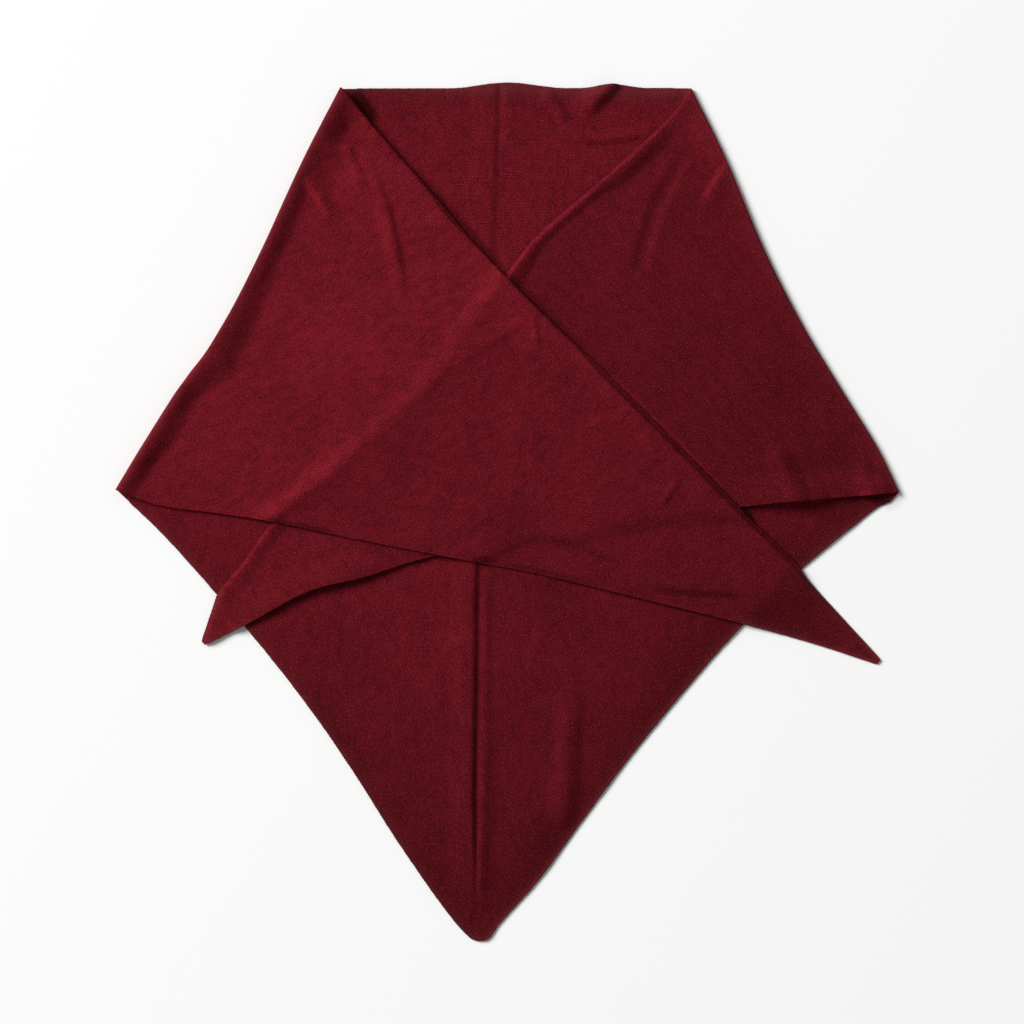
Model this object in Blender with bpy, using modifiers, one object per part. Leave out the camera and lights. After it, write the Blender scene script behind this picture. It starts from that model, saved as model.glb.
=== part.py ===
"""Fine-knit triangular bandana scarf, folded as it is worn and laid flat on a table.

One knitted triangle lies with its long edge, the neckline, at the top. Both ends are
folded over to the front at the sides and cross there. The cloth shows as three stretches:
the back with the point, the right flap under, and the left flap on top of it.

Metres. +X is the wearer's left as it lies, +Y runs up to the neckline, +Z off the table.
"""

import math

import bpy
from mathutils import Vector

# Driving sizes, in metres.
CLOTH = 0.0015            # thickness of the knitted wall
LAYER_GAP = 0.0005        # air between a layer and the one it lies on
SEAM_GAP = 0.0003         # air where two stretches meet under a side fold
FOLD_RADIUS = 0.0026      # radius of a side fold, at the middle of the wall
FOLD_LEAD = 0.0040        # flat stretch of a flap under its side fold, up to the back
RIM_WIDTH = 0.009         # width of the curl along a flap's neckline edge
DRAPE_MARGIN = 0.008      # a layer keeps its height this far past the edge below it
DRAPE_FALL = 0.011        # width over which it then comes down a layer
BOW_FADE = 3              # how fast the curve of a side fold straightens along a flap

TABLE_LEVEL = CLOTH / 2
LAYER_STEP = CLOTH + LAYER_GAP
FOLD_INSET = FOLD_RADIUS + CLOTH / 2
FOLD_TOP = TABLE_LEVEL + 2 * FOLD_RADIUS
SEAM_INSET = FOLD_INSET + FOLD_LEAD

# Mesh counts.
FOLD_STEPS = 6            # facets round a side fold
SLOPE_SECTIONS = 4        # sections on the slope inside it
FLAP_SECTIONS = 32        # sections of a flap from there to its tip
FLAP_COLUMNS = 22         # strips from its neckline edge to its hem
BACK_FOLD_SECTIONS = FLAP_COLUMNS   # sections of the back beside the side folds
BACK_HEM_SECTIONS = 30    # sections of the back beside its hems
BACK_COLUMNS = 30         # strips across it
CENTRE_CROWDING = 1.25    # above 1, the strips crowd to the centre fold
CENTRE_HALVINGS = 30      # halvings of the centre fold that find a height on it
OUTLINE_STEPS = 24        # points read along each edge when layers are stacked

# Edges seen from above. Columns: x, y.
LEFT_FOLD = (
    (-0.0969, 0.2459), (-0.1189, 0.2042), (-0.1433, 0.1520), (-0.1659, 0.1085),
    (-0.1897, 0.0737), (-0.2117, 0.0389), (-0.2274, 0.0128),
)
RIGHT_FOLD = (
    (0.1067, 0.2462), (0.1276, 0.2042), (0.1496, 0.1520), (0.1717, 0.1085),
    (0.1926, 0.0737), (0.2140, 0.0389), (0.2274, 0.0116),
)
LEFT_BACK_HEM = (
    (-0.2274, 0.0128), (-0.2001, -0.0133), (-0.1688, -0.0481), (-0.1392, -0.0829),
    (-0.1125, -0.1177), (-0.0887, -0.1525), (-0.0667, -0.1873), (-0.0429, -0.2221),
    (-0.0296, -0.2395), (-0.0225, -0.2470), (-0.0185, -0.2493),
)
RIGHT_BACK_HEM = (
    (0.2274, 0.0116), (0.2245, 0.0058), (0.2169, 0.0029), (0.2053, -0.0046),
    (0.1833, -0.0220), (0.1560, -0.0460), (0.1282, -0.0742), (0.0980, -0.1090),
    (0.0696, -0.1438), (0.0435, -0.1786), (0.0180, -0.2134), (-0.0052, -0.2395),
    (-0.0105, -0.2470), (-0.0135, -0.2493),
)
LEFT_FLAP_NECKLINE = (
    (-0.0969, 0.2459), (-0.0806, 0.2268), (-0.0429, 0.1833), (-0.0203, 0.1566),
    (0.0191, 0.1160), (0.0516, 0.0853), (0.0905, 0.0464), (0.1334, 0.0029),
    (0.1680, -0.0310), (0.1740, -0.0394), (0.1897, -0.0568), (0.2165, -0.0860),
)
LEFT_FLAP_HEM = (
    (-0.2274, 0.0128), (-0.2042, 0.0046), (-0.1711, 0.0000), (-0.1375, -0.0052),
    (-0.0992, -0.0133), (-0.0406, -0.0249), (0.0151, -0.0354), (0.0783, -0.0505),
    (0.1369, -0.0650), (0.1786, -0.0766), (0.2145, -0.0884),
)
RIGHT_FLAP_NECKLINE = (
    (0.1067, 0.2462), (0.0974, 0.2332), (0.0806, 0.2163), (0.0568, 0.1949),
    (0.0139, 0.1566), (-0.0174, 0.1125), (-0.0371, 0.0847), (-0.0615, 0.0580),
    (-0.0916, 0.0302), (-0.1363, -0.0058), (-0.1525, -0.0278), (-0.1676, -0.0464),
    (-0.1717, -0.0568), (-0.1780, -0.0752),
)
RIGHT_FLAP_HEM = (
    (0.2274, 0.0116), (0.1949, 0.0087), (0.1537, 0.0052), (0.1334, 0.0029),
    (0.0847, -0.0006), (0.0360, -0.0104), (-0.0162, -0.0255), (-0.0435, -0.0258),
    (-0.0835, -0.0377), (-0.1154, -0.0458), (-0.1537, -0.0661), (-0.1760, -0.0772),
)
# Width over which each side fold falls to the lying flap. Columns: share of fold, width.
LEFT_FOLD_SLOPE = ((0.0, 0.018), (0.25, 0.026), (0.55, 0.015), (0.75, 0.021), (1.0, 0.014))
RIGHT_FOLD_SLOPE = ((0.0, 0.020), (0.20, 0.016), (0.50, 0.020), (0.80, 0.030), (1.0, 0.036))
# The pressed centre fold of the back, from the neckline to the point. Columns: x, y.
CENTRE_FOLD = (
    (-0.0012, 0.2482), (-0.0075, 0.1926), (-0.0087, 0.1543), (-0.0133, 0.0650),
    (-0.0174, -0.0290), (-0.0191, -0.1090), (-0.0209, -0.1960), (-0.0160, -0.2494),
)
# Waves of the neckline edge. Columns: x, rise, width.
NECKLINE_WAVES = (
    (-0.002, 0.0033, 0.022),
    (0.061, 0.0020, 0.013),
)
NECKLINE_WAVE_DEPTH = 0.018
NECKLINE_Y = 0.2460
NECKLINE_REACH = 0.100    # the neckline is straight for at least this far from a corner
LEAN_REACH = 0.03         # share of an edge over which its direction is read
FRAME_REACH = 0.01        # share of a side fold, each way, over which its direction is read
CORNER_PART = 0.08        # share of a back hem that eases out of its corner

# A ridge has this share of its rise at its ends, which take this part of its length each.
RIDGE_FOOT = 0.35
RIDGE_END = 0.1
# Soft ridges of each stretch. Columns: start x, start y, end x, end y, rise, width.
BACK_RIDGES = (
    (-0.0235, -0.070, -0.0262, -0.222, 0.0016, 0.010),
    (-0.0080, -0.078, -0.0110, -0.205, 0.0011, 0.014),
    (0.0340, -0.108, 0.0380, -0.165, 0.0014, 0.011),
    (0.0385, 0.226, 0.0600, 0.240, 0.0024, 0.011),
)
LEFT_FLAP_RIDGES = (
    (-0.0850, 0.204, -0.0640, 0.136, 0.0012, 0.012),
    (-0.1190, 0.193, -0.1040, 0.166, 0.0012, 0.009),
    (0.0870, 0.0150, 0.0990, 0.0290, 0.0008, 0.009),
)
RIGHT_FLAP_RIDGES = (
    (0.0850, 0.206, 0.0690, 0.146, 0.0012, 0.011),
    (0.1030, 0.206, 0.0830, 0.152, 0.0011, 0.011),
    (0.1250, 0.196, 0.1130, 0.180, 0.0010, 0.009),
    (0.1560, 0.030, 0.1590, 0.014, 0.0012, 0.012),
)
# Share of the curl's arch that lies outside the very edge of the cloth.
RIM_START = 0.25
# How far a flap's neckline edge curls up. Columns: share of the edge, rise.
LEFT_RIM = ((0.0, 0.0010), (0.9, 0.0008), (1.0, 0.0))
RIGHT_RIM = (
    (0.0, 0.0012), (0.26, 0.0010), (0.32, 0.0), (0.84, 0.0), (0.90, 0.0008), (1.0, 0.0),
)
# Where a flap's hem stands off what lies below. Columns: share of the hem, lift.
LEFT_HEM_LIFT = ((0.0, 0.0018), (0.10, 0.0003), (0.30, 0.0), (1.0, 0.0))
RIGHT_HEM_LIFT = (
    (0.0, 0.0026), (0.09, 0.0034), (0.14, 0.0034), (0.22, 0.0), (0.72, 0.0),
    (0.82, 0.0018), (0.90, 0.0012), (1.0, 0.0008),
)
HEM_LIFT_WIDTH = 0.020

FLAP_ROWS = 1 + FOLD_STEPS + SLOPE_SECTIONS + FLAP_SECTIONS
BACK_ROWS = BACK_FOLD_SECTIONS + BACK_HEM_SECTIONS
LEFT_SIDE = {
    "outward": -1.0, "fold": LEFT_FOLD, "back_hem": LEFT_BACK_HEM,
    "neckline": LEFT_FLAP_NECKLINE, "hem": LEFT_FLAP_HEM, "slope": LEFT_FOLD_SLOPE,
    "ridges": LEFT_FLAP_RIDGES, "rim": LEFT_RIM, "hem_lift": LEFT_HEM_LIFT,
}
RIGHT_SIDE = {
    "outward": 1.0, "fold": RIGHT_FOLD, "back_hem": RIGHT_BACK_HEM,
    "neckline": RIGHT_FLAP_NECKLINE, "hem": RIGHT_FLAP_HEM, "slope": RIGHT_FOLD_SLOPE,
    "ridges": RIGHT_FLAP_RIDGES, "rim": RIGHT_RIM, "hem_lift": RIGHT_HEM_LIFT,
}

# Colour of the knit in linear light, and its surface.
KNIT_COLOUR = (0.095, 0.0050, 0.0090, 1.0)
KNIT_ROUGHNESS = 0.9
KNIT_SHEEN = 0.03


def ease(value):
    """Smooth step from 0 to 1."""
    bounded = min(1.0, max(0.0, value))
    return bounded * bounded * (3.0 - 2.0 * bounded)


def chord_shares(points):
    """Share of the whole length at each point of an edge."""
    lengths = [0.0]
    for first, second in zip(points, points[1:]):
        lengths.append(lengths[-1] + math.dist(first, second))
    return [length / lengths[-1] for length in lengths]


def edge_point(points, share):
    """Point on the smooth curve through an edge's table, by share of its length."""
    shares = chord_shares(points)
    last = len(points) - 1
    index = 0
    while index < last - 1 and share > shares[index + 1]:
        index += 1
    span = shares[index + 1] - shares[index]
    along = (share - shares[index]) / span

    def slope(at):
        before = max(0, at - 1)
        after = min(last, at + 1)
        run = shares[after] - shares[before]
        return (Vector(points[after]) - Vector(points[before])) / run

    start = Vector(points[index])
    end = Vector(points[index + 1])
    square = along * along
    cube = square * along
    return (
        start * (2 * cube - 3 * square + 1)
        + slope(index) * (span * (cube - 2 * square + along))
        + end * (3 * square - 2 * cube)
        + slope(index + 1) * (span * (cube - square))
    )


def table_value(rows, share):
    """Value in a table of two columns, eased between its rows."""
    for (start, low), (end, high) in zip(rows, rows[1:]):
        if share <= end:
            return low + (high - low) * ease((share - start) / (end - start))
    return rows[-1][1]


def distance_to_segment(point, start, end):
    """Distance in the plane from a point to a straight stretch, and the share along it."""
    run = end - start
    along = (point - start).dot(run) / run.length_squared
    along = min(1.0, max(0.0, along))
    return (point - start - run * along).length, along


def outline_of(edges):
    """Closed outline through several edges, each read at even steps."""
    outline = []
    for points, forward in edges:
        for step in range(OUTLINE_STEPS):
            share = step / OUTLINE_STEPS
            outline.append(edge_point(points, share if forward else 1.0 - share))
    return outline


def distance_outside(point, outline):
    """Distance from a point to a closed outline, or 0 within it."""
    inside = False
    nearest = math.inf
    for start, end in zip(outline, outline[1:] + outline[:1]):
        nearest = min(nearest, distance_to_segment(point, start, end)[0])
        if (start.y > point.y) != (end.y > point.y):
            crossing = start.x + (end.x - start.x) * (point.y - start.y) / (end.y - start.y)
            if point.x < crossing:
                inside = not inside
    return 0.0 if inside else nearest


def rise_over(point, outline):
    """Height that a layer has over the one within an outline, falling off past it."""
    past = distance_outside(point, outline) - DRAPE_MARGIN
    return LAYER_STEP * (1.0 - ease(past / DRAPE_FALL))


def ridge_height(point, ridges):
    """Height of the soft ridges at a point."""
    height = 0.0
    for start_x, start_y, end_x, end_y, rise, width in ridges:
        start = Vector((start_x, start_y))
        end = Vector((end_x, end_y))
        distance, along = distance_to_segment(point, start, end)
        held = min(1.0 - RIDGE_END, max(RIDGE_END, along))
        swell = RIDGE_FOOT + (1.0 - RIDGE_FOOT) * math.sin(math.pi * held)
        height += rise * swell * (1.0 - ease(distance / width))
    return height


def fold_frame(fold, share, outward):
    """Unit vectors in the plane at a side fold: down along it, and square to it inwards."""
    after = edge_point(fold, min(1.0, share + FRAME_REACH))
    before = edge_point(fold, max(0.0, share - FRAME_REACH))
    run = after - before
    down = run.normalized()
    inward = Vector((down.y, -down.x))
    return down, inward if inward.x * outward < 0.0 else -inward


def lean_at(fold, end, edge, outward):
    """How far an edge that leaves a fold's end runs along the fold, for each metre inwards."""
    down, inward = fold_frame(fold, end, outward)
    leaving = edge_point(edge, LEAN_REACH) - edge_point(edge, 0.0)
    return leaving.dot(down) / leaving.dot(inward)


def beside_fold(fold, share, inset, leans, outward):
    """Point a given way inside a side fold, so that both its ends stay on the edges there."""
    down, inward = fold_frame(fold, share, outward)
    lean = leans[0] + (leans[1] - leans[0]) * share
    return edge_point(fold, share) + inward * inset + down * (inset * lean)


def knit_material():
    """Burgundy fine knit."""
    material = bpy.data.materials.new("burgundy_knit")
    material.use_nodes = True
    shader = material.node_tree.nodes["Principled BSDF"]
    shader.inputs["Base Color"].default_value = KNIT_COLOUR
    shader.inputs["Roughness"].default_value = KNIT_ROUGHNESS
    shader.inputs["Metallic"].default_value = 0.0
    shader.inputs["Sheen Weight"].default_value = KNIT_SHEEN
    return material


def cloth_wall(name, columns, sections, place, collection, material):
    """Sheet of cloth: a grid whose points are placed by a function, made a wall."""
    bpy.ops.mesh.primitive_grid_add(x_subdivisions=columns, y_subdivisions=sections, size=2.0)
    stretch = bpy.context.active_object
    stretch.name = name
    stretch.data.name = name
    for vertex in stretch.data.vertices:
        across = (vertex.co.x + 1.0) / 2.0
        along = (vertex.co.y + 1.0) / 2.0
        vertex.co = place(across, along)
    wall = stretch.modifiers.new("wall", "SOLIDIFY")
    wall.thickness = CLOTH
    wall.offset = 0.0
    stretch.data.materials.append(material)
    stretch.data.shade_smooth()
    for holder in list(stretch.users_collection):
        holder.objects.unlink(stretch)
    collection.objects.link(stretch)
    return stretch


def back_side(fold, hem, outward, share):
    """Side edge of the back: 0 to 1 runs beside the fold, 1 to 2 down the hem."""
    inset = SEAM_INSET + SEAM_GAP
    leans = back_leans(fold, hem, outward)
    if share <= 1.0:
        return beside_fold(fold, share, inset, leans, outward)
    length = sum(math.dist(first, second) for first, second in zip(hem, hem[1:]))
    covered = inset * math.hypot(1.0, leans[1]) / length
    down_hem = share - 1.0
    corner_miss = beside_fold(fold, 1.0, inset, leans, outward) - edge_point(hem, covered)
    point = edge_point(hem, covered + (1.0 - covered) * down_hem)
    return point + corner_miss * (1.0 - ease(down_hem / CORNER_PART))


def back_leans(fold, hem, outward):
    """Leans of the back's neckline and hem at the ends of a side fold."""
    neckline = (fold[0], (fold[0][0] - outward * NECKLINE_REACH, fold[0][1]))
    return lean_at(fold, 0.0, neckline, outward), lean_at(fold, 1.0, hem, outward)


def place_back(across, along):
    """Point of the back. Across runs left to right, along from neckline to point."""
    row = round(along * BACK_ROWS)
    share = row / BACK_FOLD_SECTIONS
    if row > BACK_FOLD_SECTIONS:
        share = 1.0 + (row - BACK_FOLD_SECTIONS) / BACK_HEM_SECTIONS
    left = back_side(LEFT_FOLD, LEFT_BACK_HEM, -1.0, share)
    right = back_side(RIGHT_FOLD, RIGHT_BACK_HEM, 1.0, share)
    middle = centre_at((left.y + right.y) / 2.0)
    side = 2.0 * across - 1.0
    end = right if side > 0.0 else left
    point = middle.lerp(end, abs(side) ** CENTRE_CROWDING)
    from_neckline = NECKLINE_Y - point.y
    for x, rise, width in NECKLINE_WAVES:
        near = 1.0 - ease(abs(point.x - x) / width)
        point.y += rise * near * (1.0 - ease(from_neckline / NECKLINE_WAVE_DEPTH))
    return Vector((point.x, point.y, TABLE_LEVEL + ridge_height(point, BACK_RIDGES)))


def centre_at(y):
    """Point of the centre fold at a given height up the scarf."""
    low = 0.0
    high = 1.0
    for _ in range(CENTRE_HALVINGS):
        share = (low + high) / 2.0
        if edge_point(CENTRE_FOLD, share).y > y:
            low = share
        else:
            high = share
    return Vector((edge_point(CENTRE_FOLD, low).x, y))


def flap_placer(side, layers_below):
    """Function that places the points of a flap, its side fold included.

    Across runs from the neckline edge to the hem. Along runs from under the side fold,
    round it, and over the front to the tip.
    """
    fold, neckline, hem, outward = side["fold"], side["neckline"], side["hem"], side["outward"]
    under_leans = back_leans(fold, side["back_hem"], outward)
    over_leans = (
        lean_at(fold, 0.0, neckline, outward), lean_at(fold, 1.0, hem, outward),
    )
    length = (edge_point(hem, 1.0) - edge_point(hem, 0.0)).length
    width = (edge_point(fold, 1.0) - edge_point(fold, 0.0)).length

    def place(across, along):
        row = round(along * FLAP_ROWS) - 1
        if row < 0:
            inset = FOLD_INSET - FOLD_LEAD * row
            point = beside_fold(fold, across, inset, under_leans, outward)
            return Vector((point.x, point.y, TABLE_LEVEL))
        if row < FOLD_STEPS:
            turn = math.pi * (row / FOLD_STEPS - 0.5)
            risen = (1.0 + math.sin(turn)) / 2.0
            leans = [
                under + (over - under) * risen for under, over in zip(under_leans, over_leans)
            ]
            inset = FOLD_INSET - FOLD_RADIUS * math.cos(turn)
            point = beside_fold(fold, across, inset, leans, outward)
            return Vector((point.x, point.y, TABLE_LEVEL + 2.0 * FOLD_RADIUS * risen))

        row -= FOLD_STEPS
        slope = table_value(side["slope"], across)
        if row < SLOPE_SECTIONS:
            from_fold = slope * row / SLOPE_SECTIONS
        else:
            from_fold = slope + (length - slope) * (row - SLOPE_SECTIONS) / FLAP_SECTIONS
        share = from_fold / length
        point = edge_point(neckline, share).lerp(edge_point(hem, share), across)
        straight = edge_point(neckline, 0.0).lerp(edge_point(hem, 0.0), across)
        top_line = beside_fold(fold, across, FOLD_INSET, over_leans, outward)
        point += (top_line - straight) * (1.0 - share) ** BOW_FADE

        height = TABLE_LEVEL + ridge_height(point, side["ridges"])
        for outline in layers_below:
            height += rise_over(point, outline)
        settled = ease(from_fold / slope)
        section = width * (1.0 - share)
        from_neckline = across * section
        curl = math.sin(math.pi * min(1.0, RIM_START + from_neckline / RIM_WIDTH))
        height += table_value(side["rim"], share) * curl
        from_hem = (1.0 - across) * section
        lift = table_value(side["hem_lift"], share)
        height += lift * (1.0 - ease(from_hem / HEM_LIFT_WIDTH))
        height = FOLD_TOP + (height - FOLD_TOP) * settled
        return Vector((point.x, point.y, height))

    return place


def clear_scene():
    """Remove whatever is in the scene."""
    for item in list(bpy.data.objects):
        bpy.data.objects.remove(item, do_unlink=True)


def build():
    """Build the three stretches of the scarf."""
    clear_scene()
    collection = bpy.data.collections.new("bandana")
    bpy.context.scene.collection.children.link(collection)
    material = knit_material()

    back_outline = outline_of((
        (LEFT_FOLD, True), (LEFT_BACK_HEM, True), (RIGHT_BACK_HEM, False), (RIGHT_FOLD, False),
    ))
    right_outline = outline_of((
        (RIGHT_FOLD, True), (RIGHT_FLAP_HEM, True), (RIGHT_FLAP_NECKLINE, False),
    ))
    cloth_wall("back", BACK_COLUMNS, BACK_ROWS, place_back, collection, material)
    place_right = flap_placer(RIGHT_SIDE, (back_outline,))
    place_left = flap_placer(LEFT_SIDE, (back_outline, right_outline))
    cloth_wall("front_right", FLAP_COLUMNS, FLAP_ROWS, place_right, collection, material)
    cloth_wall("front_left", FLAP_COLUMNS, FLAP_ROWS, place_left, collection, material)


build()
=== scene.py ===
"""Looks of the burgundy knitted scarf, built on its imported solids.

The scarf is one knitted triangle, folded as it is worn and laid flat. Each stretch of cloth that
shows is a thin shell on the form of its solid: the back, the right flap, and the left flap on top.
+X is right seen from above, +Y runs up to the neckline, +Z off the table. Sizes are in metres, but
those in the tables of edges, folds, creases, bands and shades are in millimetres.
"""

import logging
import math
from collections.abc import Mapping, Sequence
from dataclasses import dataclass, field
from enum import Enum

import bmesh
import bpy
import numpy as np
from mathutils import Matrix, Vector, noise
from mathutils.bvhtree import BVHTree


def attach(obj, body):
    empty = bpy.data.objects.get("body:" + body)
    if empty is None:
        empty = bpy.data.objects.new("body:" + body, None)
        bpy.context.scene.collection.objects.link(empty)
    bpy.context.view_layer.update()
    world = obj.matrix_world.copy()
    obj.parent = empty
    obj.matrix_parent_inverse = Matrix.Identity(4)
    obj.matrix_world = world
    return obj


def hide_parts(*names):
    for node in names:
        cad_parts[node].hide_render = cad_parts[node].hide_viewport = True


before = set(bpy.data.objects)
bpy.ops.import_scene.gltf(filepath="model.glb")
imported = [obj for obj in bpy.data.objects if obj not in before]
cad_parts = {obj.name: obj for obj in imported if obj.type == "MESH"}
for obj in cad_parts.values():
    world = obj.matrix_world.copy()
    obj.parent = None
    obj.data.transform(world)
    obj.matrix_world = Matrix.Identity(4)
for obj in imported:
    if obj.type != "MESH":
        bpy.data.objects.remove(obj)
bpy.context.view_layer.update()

LOG = logging.getLogger("bandana")
BODY = "root"
CUT_MAP = "flat_cut"
GRAIN = "grain"
SHADE = "shade"
FUZZ_AND_SHEEN = "fuzz_and_sheen"
MM = 0.001
MIDDLE = 0.5              # mean of a noise, and the tone of plain cloth

# The cloth and its layers.
CLOTH = 0.0012            # thickness of the knit
RIM_ROUND = 0.0003        # rounding of its rim
RIM_ANGLE = 60.0          # degrees; corners sharper than this are rounded
TABLE_LEVEL = 0.00065     # middle of the cloth where it lies on the table
LAYER_STEP = 0.0020       # from one layer to the next
LAYER_GAP = CLOTH + 0.00015  # least step between the middles of two layers
SETTLE_STEPS = 60         # how far cloth that is held up eases off around
PROBE_HEIGHT = 1.0        # where the rays down to the layers below start
# The side folds.
FOLD_DEPTH = 0.0013       # half the width of a side fold, for it is pinched
FOLD_INSET = FOLD_DEPTH + 0.00075  # from the outline in to the axis of a side fold
FOLD_LEAD = 0.0053        # flat stretch of a flap under its side fold
SEAM_INSET = FOLD_INSET + FOLD_LEAD
NECKLINE_REACH = 100.0    # length of neckline that sets the back's lean, in millimetres
LEAN_REACH = 0.03         # share of an edge that sets its lean
DIRECTION_STEP = 0.01     # share of a fold to each side that sets its direction
BOW_FADE = 3              # how soon a flap's rows lose the bow of its side fold
# Edges and creases.
CORNER_PART = 0.08        # share of a hem over which the back's corner is eased in
OUTLINE_STEPS = 60
CENTRE_STEPS = 400
CREASE_TAIL = 0.12        # share of a crease by which its ends run on past its points
CREASE_END = 0.25         # share of a crease over which its height grows at each end
SMALL_WAVE = 0.011        # length and height of the slight unevenness of hand-smoothed cloth
SMALL_WAVE_HEIGHT = 0.00022
LARGE_WAVE = 0.040
LARGE_WAVE_HEIGHT = 0.0006
FUZZ_AND_SHEEN_REACH = 0.0024       # how fast the fuzz and painted sheen along the outline fade inwards
BORDER_REACH = 0.009      # how far in from the cloth's outline its painted shade and light at the border reach
HEM_CURL = 0.0003         # how far the free edges of the back turn up
HEM_CURL_REACH = 0.0014

Array = np.ndarray
Pair = tuple[float, float]
Triple = tuple[float, float, float]
Colour = tuple[float, float, float, float]
Points = tuple[Pair, ...]
Sockets = Mapping[int | str, object]


def ease(value: Array | float) -> Array:
    """Smooth step of any numbers, from 0 at 0 and below to 1 at 1 and above."""
    bounded = np.clip(value, 0.0, 1.0)
    return bounded * bounded * (3.0 - 2.0 * bounded)


@dataclass(frozen=True)
class Edge:
    """Smooth curve seen from above, through a short table of x and y in millimetres."""

    points: Points

    def reached(self) -> Array:
        """Distance along the chords to each point, in metres."""
        steps = np.diff(MM * np.array(self.points), axis=0)
        return np.concatenate(([0.0], np.cumsum(np.hypot(steps[:, 0], steps[:, 1]))))

    def chord_shares(self) -> Array:
        """Share of the whole length at each point."""
        reached = self.reached()
        return reached / reached[-1]

    def at(self, share: Array | float) -> Array:
        """Points on the curve.

        Args:
            share: Shares of the length, from 0 to 1.

        Returns:
            One row of x and y for each share.
        """
        share = np.atleast_1d(np.asarray(share, float))
        knots = MM * np.array(self.points)
        shares = self.chord_shares()
        last = len(knots) - 1
        before = np.maximum(np.arange(last + 1) - 1, 0)
        after = np.minimum(np.arange(last + 1) + 1, last)
        slopes = (knots[after] - knots[before]) / (shares[after] - shares[before])[:, None]
        index = np.clip(np.searchsorted(shares, share, side="left") - 1, 0, last - 1)
        span = (shares[index + 1] - shares[index])[:, None]
        along = (share - shares[index])[:, None] / span
        square = along * along
        cube = square * along
        return (
            knots[index] * (2.0 * cube - 3.0 * square + 1.0)
            + slopes[index] * (span * (cube - 2.0 * square + along))
            + knots[index + 1] * (3.0 * square - 2.0 * cube)
            + slopes[index + 1] * (span * (cube - square))
        )


@dataclass(frozen=True)
class Table:
    """A size eased between the rows of a table of share and millimetres."""

    rows: Points

    def at(self, share: Array) -> Array:
        """Sizes at the given shares.

        Args:
            share: Shares, from 0 to 1.

        Returns:
            One size for each share, in metres.
        """
        starts, values = np.array(self.rows).T * [[1.0], [MM]]
        index = np.clip(np.searchsorted(starts, share, side="left") - 1, 0, len(starts) - 2)
        along = (share - starts[index]) / (starts[index + 1] - starts[index])
        return values[index] + (values[index + 1] - values[index]) * ease(along)


@dataclass(frozen=True)
class Crease:
    """A soft ridge along a bent line, or a trough where rise is below 0.

    Its two widths, in millimetres, are those of its sides as seen walking from its first point to
    its last. Its rise is in millimetres, or a tone where it is a band of painted shade or light.
    """

    path: Points
    rise: float
    left: float
    right: float
    start: float = CREASE_END
    end: float = CREASE_END

    def height(self, where: Array) -> Array:
        """Height of the crease, in the unit of its rise.

        Args:
            where: Rows of x and y.

        Returns:
            Its height at each row.
        """
        knots = MM * np.array(self.path)
        shares = Edge(self.path).chord_shares()
        nearest = np.full(len(where), np.inf)
        share = np.zeros(len(where))
        side = np.ones(len(where))
        for index in range(len(knots) - 1):
            run = knots[index + 1] - knots[index]
            offset = where - knots[index]
            held = np.clip(offset @ run / (run @ run), 0.0, 1.0)
            gap = offset - held[:, None] * run
            distance = np.hypot(gap[:, 0], gap[:, 1])
            closer = distance < nearest
            nearest[closer] = distance[closer]
            turned = run[0] * offset[:, 1] - run[1] * offset[:, 0]
            side[closer] = np.where(turned > 0.0, 1.0, -1.0)[closer]
            share[closer] = (shares[index] + (shares[index + 1] - shares[index]) * held)[closer]
        width = MM * np.where(side > 0.0, self.left, self.right)
        swell = ease((share + CREASE_TAIL) / (self.start + CREASE_TAIL))
        swell = swell * ease((1.0 - share + CREASE_TAIL) / (self.end + CREASE_TAIL))
        return self.rise * swell * (1.0 - ease(nearest / width))


def creases(*rows: tuple[Points | float, ...]) -> tuple[Crease, ...]:
    """Creases, or bands of painted shade and light, from the rows of a table."""
    return tuple(Crease(*row) for row in rows)


class Outline:
    """Closed outline of a layer, seen from above."""

    def __init__(self, *edges: tuple[Edge, bool]) -> None:
        """Read the edges in order, each with True, or False to follow it from its end."""
        steps = np.arange(OUTLINE_STEPS) / OUTLINE_STEPS
        self.points = np.concatenate([e.at(steps if forward else 1.0 - steps) for e, forward in edges])

    def distance_outside(self, where: Array) -> Array:
        """Distance to the outline.

        Args:
            where: Rows of x and y.

        Returns:
            The distance for each row, and below 0 within the outline.
        """
        nearest = np.full(len(where), np.inf)
        inside = np.zeros(len(where), bool)
        for start, end in zip(self.points, np.roll(self.points, -1, axis=0)):
            run = end - start
            offset = where - start
            part = np.clip(offset @ run / max(run @ run, 1e-12), 0.0, 1.0)
            gap = offset - part[:, None] * run
            nearest = np.minimum(nearest, np.hypot(gap[:, 0], gap[:, 1]))
            if start[1] != end[1]:
                spans = (start[1] > where[:, 1]) != (end[1] > where[:, 1])
                crossing = start[0] + run[0] * (where[:, 1] - start[1]) / run[1]
                inside ^= spans & (where[:, 0] < crossing)
        return np.where(inside, -nearest, nearest)

    def rise_over(self, where: Array, margin: float, fall: float) -> Array:
        """Height of a layer over this one, kept for a margin past it and then eased down."""
        return LAYER_STEP * (1.0 - ease((self.distance_outside(where) - margin) / fall))


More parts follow.
